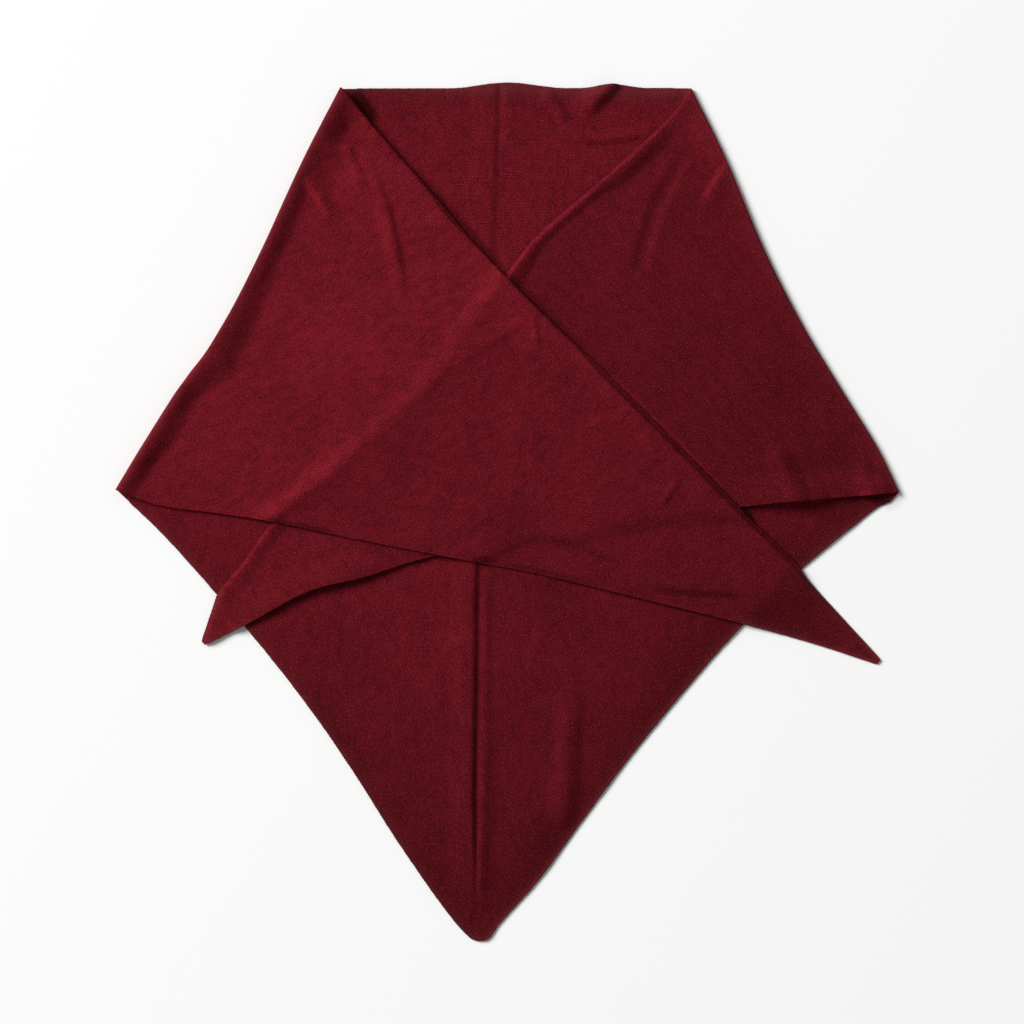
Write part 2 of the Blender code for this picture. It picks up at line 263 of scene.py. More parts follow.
@dataclass(frozen=True)
class SideFold:
    """A side fold, seen from above.

    Outward is -1 for the left one and 1 for the right one. Along its length, the radius is half
    its height at the middle of the cloth, and the bulge how far it stands out past its edge.
    """

    edge: Edge
    outward: float
    back_hem: Edge
    neckline: Edge
    hem: Edge
    radius: Table
    bulge: Table

    def top(self, share: Array) -> Array:
        """Height of the fold at the middle of the cloth, at shares of its length."""
        return TABLE_LEVEL + 2.0 * self.radius.at(share)

    def directions(self, share: Array | float) -> tuple[Array, Array]:
        """Unit vectors down along the fold, and square to it inwards.

        Args:
            share: Shares of the fold's length.

        Returns:
            Both, as rows of x and y.
        """
        share = np.atleast_1d(np.asarray(share, float))
        after = self.edge.at(np.minimum(1.0, share + DIRECTION_STEP))
        run = after - self.edge.at(np.maximum(0.0, share - DIRECTION_STEP))
        down = run / np.hypot(run[:, 0], run[:, 1])[:, None]
        inward = np.stack((down[:, 1], -down[:, 0]), axis=1)
        inward[inward[:, 0] * self.outward > 0.0] *= -1.0
        return down, inward

    def lean(self, end: float, edge: Edge) -> float:
        """How far an edge that leaves the fold's end runs along it, for each metre inwards.

        Args:
            end: 0 for the fold's upper end and 1 for its lower end.
            edge: The edge that leaves there.

        Returns:
            The lean.
        """
        down, inward = self.directions(end)
        leaving = (edge.at(LEAN_REACH) - edge.at(0.0))[0]
        return float(leaving @ down[0] / (leaving @ inward[0]))

    def back_leans(self) -> Pair:
        """Leans of the back's edges at the ends of the fold.

        Returns:
            Those of its neckline and its hem.
        """
        x, y = self.edge.points[0]
        neckline = Edge(((x, y), (x - self.outward * NECKLINE_REACH, y)))
        return self.lean(0.0, neckline), self.lean(1.0, self.back_hem)

    def flap_leans(self) -> Pair:
        """Leans of the flap's neckline and hem at the ends of the fold."""
        return self.lean(0.0, self.neckline), self.lean(1.0, self.hem)

    def beside(self, share: Array, inset: Array | float, leans: tuple[Array, Array]) -> Array:
        """Points a given way inside the fold, so that both its ends stay on the edges there.

        Args:
            share: Shares of the fold's length.
            inset: Distance inwards.
            leans: Leans at the two ends.

        Returns:
            Rows of x and y.
        """
        down, inward = self.directions(share)
        lean = leans[0] + (leans[1] - leans[0]) * share
        inset = np.broadcast_to(inset, share.shape)
        return self.edge.at(share) + inward * inset[:, None] + down * (inset * lean)[:, None]


# Edges seen from above, from the neck down or from the side in.
LEFT_FOLD = Edge((
    (-96.9, 245.9), (-118.9, 204.2), (-143.3, 152), (-165.9, 108.5), (-189.7, 73.7), (-211.7, 38.9),
    (-227.4, 12.8),
))
RIGHT_FOLD = Edge((
    (106.7, 246.2), (127.6, 204.2), (149.6, 152), (171.7, 108.5), (192.6, 73.7), (214, 38.9),
    (227.4, 11.6),
))
LEFT_BACK_HEM = Edge((
    (-227.4, 12.8), (-200.1, -13.3), (-168.8, -48.1), (-139.2, -82.9), (-112.5, -117.7),
    (-88.7, -152.5), (-66.7, -187.3), (-42.9, -222.1), (-29.6, -239.5), (-22.5, -247), (-18.5, -249.3),
))
RIGHT_BACK_HEM = Edge((
    (227.4, 11.6), (224.5, 5.8), (216.9, 2.9), (205.3, -4.6), (183.3, -22), (156, -46), (128.2, -74.2),
    (98, -109), (69.6, -143.8), (43.5, -178.6), (18, -213.4), (-5.2, -239.5), (-10.5, -247),
    (-13.5, -249.3),
))
LEFT_FLAP_NECKLINE = Edge((
    (-96.9, 245.9), (-80.6, 226.8), (-42.9, 183.3), (-20.3, 156.6), (19.1, 116), (51.6, 85.3),
    (90.5, 46.4), (133.4, 2.9), (168, -31), (174, -39.4), (189.7, -56.8), (216.5, -86),
))
LEFT_FLAP_HEM = Edge((
    (-227.4, 12.8), (-204.2, 4.6), (-171.1, 0), (-137.5, -5.2), (-99.2, -13.3), (-40.6, -24.9),
    (15.1, -35.4), (78.3, -50.5), (136.9, -65), (178.6, -76.6), (214.5, -88.4),
))
RIGHT_FLAP_NECKLINE = Edge((
    (106.7, 246.2), (97.4, 233.2), (80.6, 216.3), (56.8, 194.9), (13.9, 156.6), (-17.4, 112.5),
    (-37.1, 84.7), (-61.5, 58), (-91.6, 30.2), (-136.3, -5.8), (-152.5, -27.8), (-167.6, -46.4),
    (-171.7, -56.8), (-178, -75.2),
))
RIGHT_FLAP_HEM = Edge((
    (227.4, 11.6), (194.9, 8.7), (153.7, 5.2), (133.4, 2.9), (84.7, -0.6), (36, -10.4), (-16.2, -25.5),
    (-43.5, -25.8), (-83.5, -37.7), (-115.4, -45.8), (-153.7, -66.1), (-176, -77.2),
))
CENTRE_FOLD = Edge((
    (-1.2, 248.2), (-7.5, 192.6), (-8.7, 154.3), (-13.3, 65), (-17.4, -29), (-19.1, -109),
    (-20.9, -196), (-16, -249.4),
))
LEFT_SIDE = SideFold(
    LEFT_FOLD, -1.0, LEFT_BACK_HEM, LEFT_FLAP_NECKLINE, LEFT_FLAP_HEM,
    Table(((0, 4.7), (0.05, 3.8), (0.12, 3), (0.5, 3), (0.62, 3.4), (1, 3.3))),
    Table((
        (0, 0.6), (0.05, 0.6), (0.25, 0.3), (0.45, 0), (0.58, 0), (0.65, -0.7), (0.71, 0), (0.76, 0.5),
        (1, 0.6),
    )),
)
RIGHT_SIDE = SideFold(
    RIGHT_FOLD, 1.0, RIGHT_BACK_HEM, RIGHT_FLAP_NECKLINE, RIGHT_FLAP_HEM,
    Table(((0, 1.4), (1, 1.4))),
    Table(((0, -0.1), (0.2, -0.4), (0.8, -0.3), (0.94, 0), (1, 0))),
)

# Waves of the neckline edge of the back. Columns: x, rise, width, in millimetres.
NECKLINE_WAVES = ((0, 3.2, 34), (62, 2, 18.6))
NECKLINE_WAVE_DEPTH = 0.018
NECKLINE_Y = 0.2460

# Where the rolled edge of the right flap shows through the left one.
SHOWN_THROUGH = (
    (3.8, 146.4), (-18.6, 113.9), (-38.5, 86.3), (-63, 59.7), (-93.1, 31.8), (-137.8, -4.2),
)
# Columns of the creases: path, rise, width left and right of it, shares over which its ends grow.
BACK_CREASES = creases(
    # The pressed centre fold: a faint hollow at the neck, and a firm ridge towards the point.
    (((-8.5, 249), (-9.2, 198), (-11.5, 145)), 0.9, 4.6, 18, 0, 0.15),
    (((-0.6, 249), (-1.4, 190)), 0.8, 18, 4.6, 0, 0.5),
    (((-20, -28), (-20.6, -51), (-21.2, -109), (-22, -167), (-20.8, -213.4), (-21.2, -230.8)),
     2.2, 3.8, 15, 0.02, 0.3),
    # The narrow ridge beside it.
    (((-13.2, -33), (-13.5, -109), (-14.6, -167), (-16.3, -225)), 0.8, 5.5, 3.4, 0.1, 0.1),
    (((-14, -124), (-14.8, -167), (-16, -225)), 1, 10, 3.2, 0.3, 0.2),
    # A soft fold towards the right hem.
    (((36.8, -100), (35, -132.2), (33.8, -155.4), (32.2, -175.7)), 2.6, 10.5, 11, 0.35, 0),
    # The pinch at the right of the neckline.
    (((41, 227), (50, 238), (60.5, 249)), 4.2, 12, 6.2, 0.7, 0),
    (((23, 243), (34.5, 227)), 1.8, 4.5, 6, 0.1, 0.3),
    (((38, 216.5), (60, 216.5), (81.2, 219.5)), 1.4, 6, 3.5),
)
RIGHT_CREASES = creases(
    (((95, 217), (76.6, 196.5), (50, 173)), -0.9, 12, 8, 0.3, 0.6),
    (((102, 205), (86.8, 176), (76.5, 142)), -2.3, 5, 8, 0.3, 0.15),
    (((129.6, 205), (114.8, 179)), 1.3, 12, 3.6, 0, 0.2),
    (((166.5, 110), (173, 70), (178.1, 18)), -0.8, 12, 22),
    (((154.3, 38.3), (167.6, 8.1)), 2.8, 9.5, 9.5, 0.3, 0),
    (((204, 30), (209.5, 12)), 1, 7, 8, 0.3, 0),
)
LEFT_CREASES = creases(
    # A long air pocket beside the side fold.
    (((-92.9, 189.5), (-117.3, 137.3), (-140.9, 92), (-165.2, 56.2), (-186.7, 22.4)),
     1.5, 60, 28, 0.15, 0.15),
    (((-83, 208), (-70.2, 174), (-63.2, 142), (-61.2, 128)), 2, 3.8, 8, 0.6, 0.3),
    (((-118.5, 194.5), (-103.5, 169)), 2.2, 9, 3.4),
    (((-95, 215), (-82, 185)), 1.2, 4.5, 6),
    # Slack puckers that lie against the side fold.
    (((-174, 93), (-160, 85)), 1.4, 7.5, 7),
    (((-196, 56), (-188, 50)), 0.8, 7, 6),
    # The rolled edge of the flap below shows through, and a second line inside it.
    (SHOWN_THROUGH, 0.4, 6.2, 14, 0.02, 0.02),
    (((-86, 38), (-114, 15), (-137.8, -4.2)), 1.1, 6.2, 9.5, 0.3, 0),
    # A short fold near the neck, and a thin one that meets the line of the rolled edge.
    (((-100.3, 215.2), (-112.5, 190.8)), 1.2, 11, 11, 0.3, 0.3),
    (((16.8, 114.3), (-33.6, 82.9), (-61.5, 56.8)), 0.6, 2.6, 10, 0.05, 0.3),
    # The hollow along the hidden hem of the flap below.
    (((-16.2, -31.3), (-9.3, -29), (1.2, -23.8), (16.8, -18.6), (31.9, -18.6)), -1, 5, 7, 0.05, 0.4),
    (((33, -19), (52, -29), (70, -37)), -0.8, 6, 7, 0.3, 0.4),
    # Slack cloth above the hem, and the crease across it.
    (((70, -40), (110, -44), (150, -49)), 1.2, 13, 12),
    (((85, -46.2), (106, -48.7), (138, -50.8)), -1.1, 4.4, 4.4, 0.2, 0.2),
    (((88.5, 4.8), (99.5, 19.5)), 1.3, 3.5, 3),
    (((15, 113), (16.8, 95)), 0.8, 3, 3),
)
# Bands of painted shade and painted light in the cloth's colour. Their rise is a tone.
BACK_BANDS = creases(
    # Painted shadow in the hollow at the neckline's left corner and beside the left flap's edge.
    (((-91.5, 248), (-79.4, 229.1)), -0.85, 6.2, 6.2, 0, 0.1),
    (((-58.6, 203.6), (-36.5, 178.1), (-5.8, 143.8)), -0.42, 4.4, 6, 0.4, 0.1),
    # Painted shadow under both corners of the right hem.
    (((137, 0.5), (142.5, -7.8)), -0.75, 5.2, 5.2, 0, 0.5),
    (((213, 5.8), (225, 8.5)), -0.5, 3.4, 3.4, 0.3, 0),
    # Painted light in the shadowed hollow under the hems of both flaps, so that it is not black.
    (((143, 3.6), (170, 5.2), (194.9, 7.4), (212, 8.8)), 0.55, 2.8, 2.8, 0.1, 0.1),
    (((-204.2, 3.4), (-171.1, -1.2)), 0.3, 2.2, 2.2),
    # Painted shade: darker stretches towards both hems and under the left flap's hem.
    (((-112, -62), (-75, -101)), -0.12, 36, 36),
    (((-42, -47), (55, -56)), -0.13, 22, 30),
    (((-130, -90), (-95, -140)), -0.08, 26, 26),
    (((-72, -56), (-45, -70)), -0.08, 20, 20),
    (((30, -170), (15, -200)), -0.08, 16, 16),
    (((-20, -34), (45, -49)), -0.12, 9, 9),
    (((-70, -40), (-52, -44)), -0.12, 11, 11),
    (((98, -109), (43.5, -178.6), (6, -228)), -0.08, 24, 24),
    (((-106.2, -92), (-112.5, -115)), -0.12, 3.2, 3.2),
    # Painted highlight along the right hem.
    (RIGHT_BACK_HEM.points, 0.15, 2.4, 2.4, 0, 0),
)
RIGHT_BANDS = creases(
    # Painted highlights along the rolled edge and side fold, and painted light and shade near a crease
    # and the hem.
    (RIGHT_FLAP_NECKLINE.points[:6], 0.32, 2.4, 2.4, 0, 0),
    (RIGHT_FOLD.points, 0.5, 3, 3, 0, 0),
    (((108.5, 227), (121, 201)), 0.13, 20, 17, 0, 0.1),
    (((128.6, 205.5), (112.8, 182)), 0.44, 2.4, 2.4, 0, 0.1),
    (((111, 185), (98, 170)), -0.12, 3.4, 3.4),
    (((200, 20), (216, 14)), 0.12, 12, 12),
    (((211, 19), (217, 13)), 0.12, 7, 7),
    (((202, 10), (218, 11.8)), 0.26, 4, 4),
    (((-100, -21), (-74, -30)), 0.13, 11, 11),
    (((169, 29), (195, 35)), -0.09, 16, 16),
    # Painted shadow beside the edge of the left flap that lies on it, and a painted light line that
    # thins it.
    (((0.6, 136.9), (26.1, 111.4), (52.8, 85.8)), -0.26, 4.4, 6, 0, 0.5),
    (((59, 80), (91.4, 47.6), (123.3, 15.1)), 0.24, 2.4, 2.4, 0.1, 0),
)
LEFT_BANDS = creases(
    # Painted light and shade: paler cloth beyond the line of the flap below, and paler and darker
    # patches.
    (SHOWN_THROUGH, 0.19, 6, 220, 0, 0),
    (((-72, 140), (-100, 90)), 0.15, 40, 35),
    (((-97, 202), (-95, 176)), 0.13, 13, 11),
    (((-20, 111), (-63, 59.7), (-90, 34.5)), -0.12, 4, 21, 0.2, 0.2),
    (((-200, 20), (-155, 12)), -0.1, 18, 18),
    (((-80, 216), (-91, 188), (-78, 156)), 0.17, 30, 22),
    (((-74, 206), (-42, 165)), 0.1, 10, 20),
    (((-132, 109), (-100, 96)), 0.18, 29, 29),
    (((-8, 134), (2, 113), (19, 99)), 0.17, 18, 18),
    (((-18, -8), (20, -4)), -0.15, 20, 20),
    (((-68, 48), (-60, 8)), -0.11, 17, 15),
    # Painted highlight on the crease beside the side fold near the neck.
    (((-117.5, 193.5), (-104.5, 171.8)), 0.4, 2.8, 2.6, 0.1, 0.3),
    # Painted shade in the hollow beside the side fold, and painted highlight on the pucker past it.
    (((-125, 170), (-135, 150)), -0.08, 7.5, 6),
    (((-148, 123), (-153.4, 109.4), (-164.5, 87.5), (-171, 78)), -0.26, 12, 6.5, 0.4, 0.2),
    (((-191.5, 59), (-198.9, 43), (-213.2, 21)), -0.1, 8, 6),
    (((-170.5, 99), (-180, 85), (-188, 74)), 0.36, 5, 5),
    # Painted highlight along both edges of the tip.
    (((165, -29), (189.7, -56.8), (216.5, -86)), 0.38, 2.6, 2.6, 0.1, 0),
    (((136.9, -65), (178.6, -76.6), (214.5, -88.4)), 0.22, 2.6, 2.6, 0.1, 0),
    # Painted shadow along the hem, and painted shade in the hollow and the crease above it.
    (((-144, -3), (-99.2, -11.9)), -0.32, 2.4, 2.4),
    (((-30, -25), (15.1, -33.3), (50, -41.7)), -0.22, 3, 3),
    (((-17.4, -27.8), (0, -19.7), (20, -14), (41.8, -19.7), (69, -32)), -0.15, 5.2, 5.2, 0.05, 0.3),
    (((86, -44.8), (105.6, -46.6), (137, -49.2)), -0.11, 4.6, 4.6, 0.2, 0.2),
    (((-5, -27), (75, -43), (150, -58)), -0.08, 20, 12),
    (((-92, 242), (-104, 218)), -0.06, 11, 8, 0, 0.5),
)


class Nap(Enum):
    """How strongly the stitch lines show: the rows, and the legs that lean right and left."""

    COURSES = (1.0, 0.25, 0.25)
    SOFT_COURSES = (0.4, 0.25, 0.25)
    LEFT_LEGS = (0.2, 0.3, 0.6)
    RIGHT_LEGS = (0.2, 0.5, 0.2)

    def to(self, other: "Nap", share: Array) -> Array:
        """Rows of weights between this nap, at share 0, and another, at share 1."""
        return mixed(np.array(self.value), np.array(other.value), share)


def mixed(first: Array, second: Array, share: Array) -> Array:
    """Rows between two sets of weights, by share of the second."""
    return first * (1.0 - share[:, None]) + second * share[:, None]


class Value:
    """A socket of a shader, with arithmetic written as Python expressions."""

    def __init__(self, shader: "Shader", socket: bpy.types.NodeSocket) -> None:
        """Wrap an output socket, with the shader that new nodes go to."""
        self.shader = shader
        self.socket = socket

    def beside(self, output: int) -> "Value":
        """Another output of the same node."""
        return Value(self.shader, self.socket.node.outputs[output])

    def math(self, operation: str, *others: "Value | float") -> "Value":
        """Add a Math node whose first operand is this value."""
        operands = dict(enumerate((self, *others)))
        return self.shader.node("ShaderNodeMath", {"operation": operation}, operands)

    def __add__(self, other: "Value | float") -> "Value":
        """Sum."""
        return self.math("ADD", other)

    __radd__ = __add__

    def __sub__(self, other: "Value | float") -> "Value":
        """Difference."""
        return self.math("SUBTRACT", other)

    def __rsub__(self, other: float) -> "Value":
        """Difference from a number."""
        return self.shader.node("ShaderNodeMath", {"operation": "SUBTRACT"}, {0: other, 1: self})

    def __mul__(self, other: "Value | float") -> "Value":
        """Product."""
        return self.math("MULTIPLY", other)

    __rmul__ = __mul__


class Shader:
    """A material's node tree, with one method that adds any node."""

    def __init__(self, name: str) -> None:
        """Make a material with a Principled shader.

        Args:
            name: Its name.
        """
        self.material = bpy.data.materials.new(name)
        self.material.use_nodes = True
        self.tree = self.material.node_tree
        self.surface = self.tree.nodes["Principled BSDF"]

    def node(
        self,
        kind: str,
        settings: Mapping[str, object] | None = None,
        sockets: Sockets | None = None,
        output: int | str = 0,
    ) -> Value:
        """Add a node.

        Args:
            kind: The node's type.
            settings: Its settings, which are set first.
            sockets: Values or links of its input sockets.
            output: The output socket to give back.

        Returns:
            That output.
        """
        made = self.tree.nodes.new(kind)
        for name, setting in (settings or {}).items():
            setattr(made, name, setting)
        self.feed(made, sockets or {})
        return Value(self, made.outputs[output])

    def feed(self, node: bpy.types.Node, sockets: Sockets) -> None:
        """Set or link input sockets.

        Args:
            node: The node that they are on.
            sockets: Numbers, colours or values by socket.
        """
        for key, value in sockets.items():
            if isinstance(value, Value):
                self.tree.links.new(value.socket, node.inputs[key])
            else:
                node.inputs[key].default_value = value

    def attribute(self, name: str, output: str = "Fac") -> Value:
        """An attribute of the piece's mesh."""
        return self.node("ShaderNodeAttribute", {"attribute_name": name}, output=output)

    def vector(self, operation: str, *operands: object) -> Value:
        """Add a Vector Math node."""
        sockets = dict(enumerate(operands))
        return self.node("ShaderNodeVectorMath", {"operation": operation}, sockets)

    def speckle(self, where: Value, size: Triple, output: str = "Fac") -> Value:
        """Add flat noise, with a size of its specks a metre, detail and roughness."""
        sockets = dict(zip(("Vector", "Scale", "Detail", "Roughness"), (where, *size)))
        return self.node("ShaderNodeTexNoise", {"noise_dimensions": "2D"}, sockets, output)

    def blend(self, factor: Value, first: object, second: object) -> Value:
        """Mix two colours, by how much of the second shows."""
        sockets = {"Factor": factor, 6: first, 7: second}
        return self.node("ShaderNodeMix", {"data_type": "RGBA"}, sockets, 2)

    def mapped(self, value: Value, span: Pair, to: Pair, kind: str) -> Value:
        """Map a value from one span to another, held within it, in the given kind of ramp."""
        sockets = dict(zip(("Value", "From Min", "From Max", "To Min", "To Max"), (value, *span, *to)))
        return self.node("ShaderNodeMapRange", {"interpolation_type": kind}, sockets)


@dataclass(frozen=True)
class KnitFinish:
    """Fine burgundy wool knit: rows of small stitches, a heathered yarn and a soft nap."""

    name: str = "burgundy_knit_cloth"
    pitch: float = 0.00154          # from one row of stitches to the next
    leg_angle: float = 48.0         # degrees between the rows and the lines of stitch legs
    dark: Colour = (0.026, 0.0005, 0.0017, 1.0)
    light: Colour = (0.158, 0.0066, 0.0130, 1.0)
    fleck: Colour = (0.200, 0.0300, 0.0400, 1.0)
    fuzz_and_sheen: Colour = (0.200, 0.0560, 0.0610, 1.0)
    # Speckles: specks a metre, detail, roughness.
    wander: Triple = (420.0, 2.0, 0.6)
    heather: Triple = (900.0, 3.0, 0.65)
    mottle: Triple = (220.0, 2.0, 0.6)
    cloud: Triple = (60.0, 2.0, 0.5)
    worn: Triple = (130.0, 1.0, 0.5)
    wander_reach: float = 0.0020    # how far the stitch lines wander from side to side
    drawn: Triple = (1.0, 0.6, 1.0)  # the mottle is drawn out across the rows of stitches
    worn_span: Pair = (0.36, 0.66)
    worn_share: Pair = (0.15, 1.0)
    stitch_tone: float = 0.15
    heather_tone: float = 0.86
    mottle_tone: float = 0.50
    cloud_tone: float = 0.22
    fleck_span: Pair = (0.56, 0.74)
    fleck_share: float = 0.36
    fuzz_and_sheen_share: float = 0.14
    bump_height: float = 0.00022
    bump_strength: float = 0.6
    stitch_bump: float = 0.5
    roughness: float = 0.88
    specular: float = 0.04
    sheen: float = 0.03
    sheen_roughness: float = 0.5
    sheen_tint: Colour = (0.75, 0.16, 0.20, 1.0)

    def stitches(self, shader: Shader, cut: Value) -> Value:
        """Waves of the rows of stitches and of the lines of their legs, which wander a little.

        Args:
            shader: The shader that they are built in.
            cut: Place on the flat cut.

        Returns:
            Their sum, as strong as the grain says.
        """
        courses = shader.node(
            "ShaderNodeSeparateXYZ", sockets={0: shader.attribute(GRAIN, "Vector")}
        )
        full = (self.wander_reach, self.wander_reach, 0.0)
        half = (-self.wander_reach / 2.0, -self.wander_reach / 2.0, 0.0)
        shift = shader.vector("MULTIPLY_ADD", shader.speckle(cut, self.wander, "Color"), full, half)
        across = shader.node("ShaderNodeSeparateXYZ", sockets={0: shader.vector("ADD", cut, shift)})
        up = across.beside(1)
        turn = 2.0 * math.pi / self.pitch
        rise = math.cos(math.radians(self.leg_angle)) * turn
        run = math.sin(math.radians(self.leg_angle)) * turn
        rows = (up * turn).math("SINE")
        leaning_right = (up * rise - across * run).math("SINE")
        leaning_left = (up * rise + across * run).math("SINE")
        return courses * rows + courses.beside(1) * leaning_right + courses.beside(2) * leaning_left

    def material(self) -> bpy.types.Material:
        """Build the material.

        Returns:
            The material.
        """
        shader = Shader(self.name)
        cut = shader.node("ShaderNodeUVMap", {"uv_map": CUT_MAP})
        stitch = self.stitches(shader, cut)
        heather = shader.speckle(cut, self.heather)
        drawn = shader.vector("MULTIPLY", cut, self.drawn)
        mottle = shader.speckle(drawn, self.mottle)
        cloud = shader.speckle(drawn, self.cloud)
        worn = shader.speckle(cut, self.worn)
        kept = shader.mapped(worn, self.worn_span, self.worn_share, "SMOOTHSTEP")
        varied = (
            stitch * kept * self.stitch_tone
            + (heather - MIDDLE) * self.heather_tone
            + (mottle - MIDDLE) * self.mottle_tone
            + (cloud - MIDDLE) * self.cloud_tone
        )
        # The shade attribute paints shade and light into the tone of the colour.
        tone = (shader.attribute(SHADE) + MIDDLE) * (varied * (1.0 / MIDDLE) + 1.0)
        flecked = shader.mapped(heather, self.fleck_span, (0.0, self.fleck_share), "LINEAR")
        colour = shader.blend(tone, self.dark, self.light)
        colour = shader.blend(flecked, colour, self.fleck)
        # Paler fuzz and a painted sheen along the outline.
        colour = shader.blend(shader.attribute(FUZZ_AND_SHEEN) * self.fuzz_and_sheen_share, colour, self.fuzz_and_sheen)
        height = stitch * self.stitch_bump + heather
        shader.feed(shader.surface, {
            "Base Color": colour,
            "Roughness": self.roughness,
            "Specular IOR Level": self.specular,
            "Sheen Weight": self.sheen,
            "Sheen Roughness": self.sheen_roughness,
            "Sheen Tint": self.sheen_tint,
            "Normal": shader.node("ShaderNodeBump", sockets={
                "Strength": self.bump_strength, "Distance": self.bump_height, "Height": height,
            }),
        })
        return shader.material


@dataclass(frozen=True)
class Shade:
    """A soft step of painted shade or light in the tone, between two points in millimetres."""

    start: Pair
    end: Pair
    tone: float

    def tone_at(self, where: Array) -> Array:
        """Change of tone at rows of x and y, from none at the start to all of it at the end.

        Args:
            where: Rows of x and y.

        Returns:
            The change at each row.
        """
        start = MM * np.array(self.start)
        run = MM * np.array(self.end) - start
        return self.tone * ease((where - start) @ run / (run @ run))


def unevenness(where: Array, apart: float) -> Array:
    """Slight unevenness of cloth that was smoothed by hand.

    Args:
        where: Rows of x and y.
        apart: Sets one stretch's unevenness apart from another's.

    Returns:
        The height at each row, above and below 0.
    """
    return np.array([
        SMALL_WAVE_HEIGHT * noise.noise(Vector((x / SMALL_WAVE, y / SMALL_WAVE, apart)))
        + LARGE_WAVE_HEIGHT * noise.noise(Vector((x / LARGE_WAVE, y / LARGE_WAVE, -apart)))
        for x, y in where
    ])


@dataclass
class Sheet:
    """A stretch of cloth: a grid whose points are placed, made a thin wall.

    Its flat size and area are those of its cut. Its tone, shades, painted light bands, border tone
    and edge_tone, the tone of its loops, paint shade and light into the colour of the knit.
    """

    name: str
    node: str
    columns: int
    rows: int
    flat: Pair
    area: float
    held: str
    below: tuple["Sheet", ...] = ()
    tone: float = 0.0
    shades: tuple[Shade, ...] = ()
    painted_light_bands: tuple[Crease, ...] = ()
    edge_tone: float = 0.0
    border_tone: float = 0.0
    obj: bpy.types.Object | None = field(default=None, init=False)
    grid: Array | None = field(default=None, init=False)
    surface: BVHTree | None = field(default=None, init=False)

    def place(self, column: Array, row: Array) -> Array:
        """Rows of x, y and z for the grid's points, by column and row."""
        raise NotImplementedError

    def cut(self, where: Array) -> Array:
        """Places on the flat cut, along the rows of stitches and across them."""
        raise NotImplementedError

    def grain(self, where: Array) -> Array:
        """Rows of three weights, for how strongly each family of stitch lines shows."""
        raise NotImplementedError

    def selvedges(self) -> list[tuple[Array, Array]]:
        """Free edges of the cloth: for each, the points along it and those just inside it."""
        raise NotImplementedError

    def opened(self, column: Array, row: Array, places: Array) -> Array:
        """Places with any side fold opened out, for the knit to run round it unstretched."""
        return places

    def dress(
        self, mesh: bpy.types.Mesh, places: Array, silhouette: Sequence[Outline],
        opened: Array, paler: float = 0.0,
    ) -> None:
        """Give a mesh its place on the flat cut, and how the knit shows there.

        Args:
            mesh: The mesh.
            places: Rows of x, y and z, one for each of its points.
            silhouette: Outlines of all the layers, along which the cloth is fuzzy and has a painted
                sheen.
            opened: The places with the side fold opened out.
            paler: Tone added all over.
        """
        corners = np.empty(len(mesh.loops), dtype=np.int32)
        mesh.loops.foreach_get("vertex_index", corners)
        layer = mesh.uv_layers.new(name=CUT_MAP)
        layer.uv.foreach_set("vector", self.cut(opened)[corners].astype(np.float32).ravel())
        weights = mesh.attributes.new(GRAIN, "FLOAT_VECTOR", "POINT")
        weights.data.foreach_set("vector", self.grain(places).astype(np.float32).ravel())
        where = places[:, :2]
        inside = np.max([-outline.distance_outside(where) for outline in silhouette], axis=0)
        inside = np.maximum(0.0, inside)
        # Painted shade and light: the stretch's tone, its border tone, its shades and its bands.
        tones = paler + self.tone + self.border_tone * np.exp(-inside / BORDER_REACH)
        for shade in self.shades:
            tones += shade.tone_at(where)
        # Painted shade and highlight along the bands.
        for band in self.painted_light_bands:
            tones += band.height(where)
        for name, values in ((SHADE, tones), (FUZZ_AND_SHEEN, np.exp(-inside / FUZZ_AND_SHEEN_REACH))):
            attribute = mesh.attributes.new(name, "FLOAT", "POINT")
            attribute.data.foreach_set("value", values.astype(np.float32))

    def build(self, material: bpy.types.Material, silhouette: Sequence[Outline]) -> None:
        """Make the cloth.

        Args:
            material: The knit.
            silhouette: Outlines of all the layers, along which the cloth is fuzzy and has a painted
                sheen.
        """
        form = bmesh.new()
        bmesh.ops.create_grid(form, x_segments=self.columns, y_segments=self.rows, size=1.0)
        flat = np.array([vertex.co[:2] for vertex in form.verts])
        column = np.rint((flat[:, 0] + 1.0) / 2.0 * self.columns).astype(int)
        row = np.rint((flat[:, 1] + 1.0) / 2.0 * self.rows).astype(int)
        places = self.place(column, row)
        for vertex, place in zip(form.verts, places):
            vertex.co = place
        bmesh.ops.recalc_face_normals(form, faces=form.faces)
        self.surface = BVHTree.FromBMesh(form)
        mesh = bpy.data.meshes.new(self.name)
        form.to_mesh(mesh)
        form.free()
        self.grid = np.empty((self.rows + 1, self.columns + 1, 3))
        self.grid[row, column] = places
        self.dress(mesh, places, silhouette, self.opened(column, row, places))
        self.obj = finished(self.name, mesh, material)
        wall = self.obj.modifiers.new("wall", "SOLIDIFY")
        wall.thickness = CLOTH
        wall.offset = 0.0
        rounding = self.obj.modifiers.new("rounded_rim", "BEVEL")
        rounding.width = RIM_ROUND
        rounding.segments = 2
        rounding.limit_method = "ANGLE"
        rounding.angle_limit = math.radians(RIM_ANGLE)

    def declare(self, loops: bpy.types.Object) -> None:
        """Attach the piece to the body, hide the imported part that it stands for, and log its size.

        Args:
            loops: The loops along its edges; not used.
        """
        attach(self.obj, BODY)
        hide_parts(self.node)
        LOG.info("%s: %d points for %s", self.name, len(self.obj.data.vertices), self.node)


def finished(name: str, mesh: bpy.types.Mesh, material: bpy.types.Material) -> bpy.types.Object:
    """Put a mesh in the scene as a piece of its own.

    Args:
        name: The piece's name.
        mesh: Its mesh.
        material: Its material.

    Returns:
        The piece.
    """
    mesh.materials.append(material)
    mesh.shade_smooth()
    piece = bpy.data.objects.new(name, mesh)
    bpy.context.scene.collection.objects.link(piece)
    return piece


